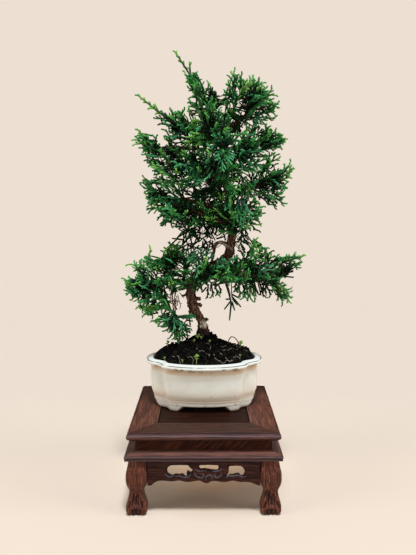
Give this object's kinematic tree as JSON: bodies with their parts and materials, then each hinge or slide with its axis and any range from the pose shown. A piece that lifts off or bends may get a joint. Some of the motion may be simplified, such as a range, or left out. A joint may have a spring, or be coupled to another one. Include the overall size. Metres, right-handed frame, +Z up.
{
  "type": "kishu juniper bonsai in a glazed pot on a wooden stand",
  "caption": "Potted kishu juniper bonsai: a curved trunk with foliage clumps rises from a soil mound in a lobed glazed pot, which stands on a square carved wooden stand.",
  "frame": {"origin": "on the floor, under the middle of the whole object's bounding box", "axes": "+Z up along the tree; the front that the picture shows faces -Y, and +X is to its right"},
  "size_m": [0.205, 0.1566, 0.468],
  "materials": {
    "rosewood": "satin",
    "glaze": "gloss",
    "soil": "matte",
    "bark": "matte",
    "foliage": "matte",
    "seedling": "matte",
    "screen_mesh": "matte",
    "wire": "satin"
  },
  "bodies": {
    "root": {"drain_screen_left": "screen_mesh", "drain_screen_right": "screen_mesh", "drain_wire_left": "wire", "drain_wire_right": "wire", "foliage_apex": "foliage", "foliage_branch_front": "foliage", "foliage_branch_left_hanging": "foliage", "foliage_branch_left_tip": "foliage", "foliage_branch_left_top": "foliage", "foliage_branch_right_back": "foliage", "foliage_branch_right_hanging": "foliage", "foliage_branch_right_tip": "foliage", "foliage_branch_right_top": "foliage", "foliage_centre_back": "foliage", "foliage_centre_front": "foliage", "foliage_centre_left": "foliage", "foliage_centre_right": "foliage", "foliage_leader": "foliage", "foliage_left": "foliage", "foliage_left_sprig": "foliage", "foliage_lower_left": "foliage", "foliage_lower_right": "foliage", "foliage_right": "foliage", "foliage_skirt_back": "foliage", "foliage_skirt_left": "foliage", "foliage_skirt_right": "foliage", "foliage_upper_back": "foliage", "foliage_upper_front": "foliage", "foliage_upper_left": "foliage", "foliage_upper_right": "foliage", "pot": "glaze", "root_loop": "bark", "seedling_front": "seedling", "seedling_left": "seedling", "seedling_right": "seedling", "seedling_trunk": "seedling", "soil": "soil", "stand_apron_back": "rosewood", "stand_apron_front": "rosewood", "stand_apron_left": "rosewood", "stand_apron_right": "rosewood", "stand_leg_back_left": "rosewood", "stand_leg_back_right": "rosewood", "stand_leg_front_left": "rosewood", "stand_leg_front_right": "rosewood", "stand_moulding_back": "rosewood", "stand_moulding_front": "rosewood", "stand_moulding_left": "rosewood", "stand_moulding_right": "rosewood", "stand_top_panel": "rosewood", "stand_top_rail_back": "rosewood", "stand_top_rail_front": "rosewood", "stand_top_rail_left": "rosewood", "stand_top_rail_right": "rosewood", "stand_waist_back": "rosewood", "stand_waist_front": "rosewood", "stand_waist_left": "rosewood", "stand_waist_right": "rosewood", "trunk_and_branches": "bark"}
  },
  "joints": []
}
